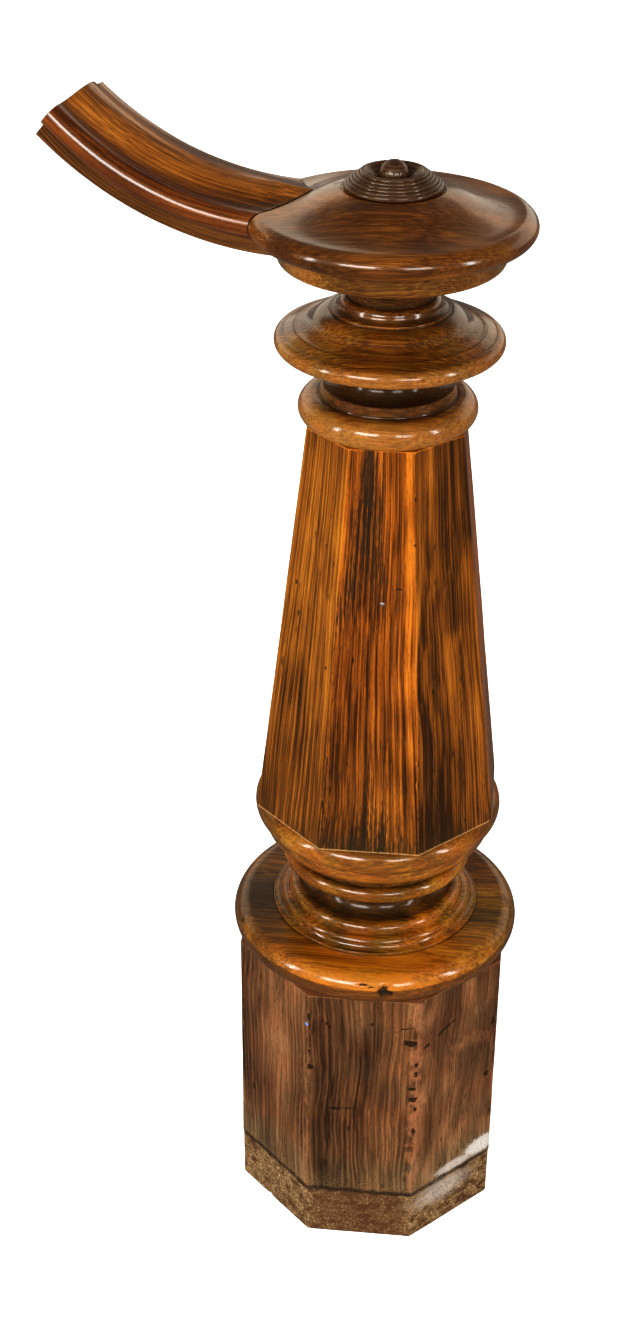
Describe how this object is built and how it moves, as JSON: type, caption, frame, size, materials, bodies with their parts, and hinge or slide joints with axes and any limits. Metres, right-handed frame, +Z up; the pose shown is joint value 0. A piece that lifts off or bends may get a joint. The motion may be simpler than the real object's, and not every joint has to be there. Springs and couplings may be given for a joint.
{
  "type": "newel post",
  "caption": "Octagonal tapered newel post with turned rings, a round mitre cap with a rosette button, and a short climbing length of moulded handrail.",
  "frame": {"origin": "centre of the base block's underside, on the post's axis", "axes": "+Z up the post; the front flat of the block and shaft faces -Y; the handrail leaves the cap toward -X and climbs"},
  "size_m": [0.4545, 0.286, 1.1464],
  "materials": {
    "base_block": "dull worn polish, rough and bare along the bottom",
    "base_ring": "gloss polish",
    "lower_neck": "gloss polish",
    "shaft": "gloss polish, worn pale along its arrises",
    "upper_neck": "gloss polish",
    "mitre_cap": "gloss polish",
    "rosette": "dark gloss polish",
    "handrail": "gloss polish"
  },
  "bodies": {
    "root": {"base_block": "base_block", "base_ring": "base_ring", "lower_neck": "lower_neck", "shaft": "shaft", "upper_neck": "upper_neck", "mitre_cap": "mitre_cap", "rosette": "rosette", "handrail": "handrail"}
  },
  "joints": []
}
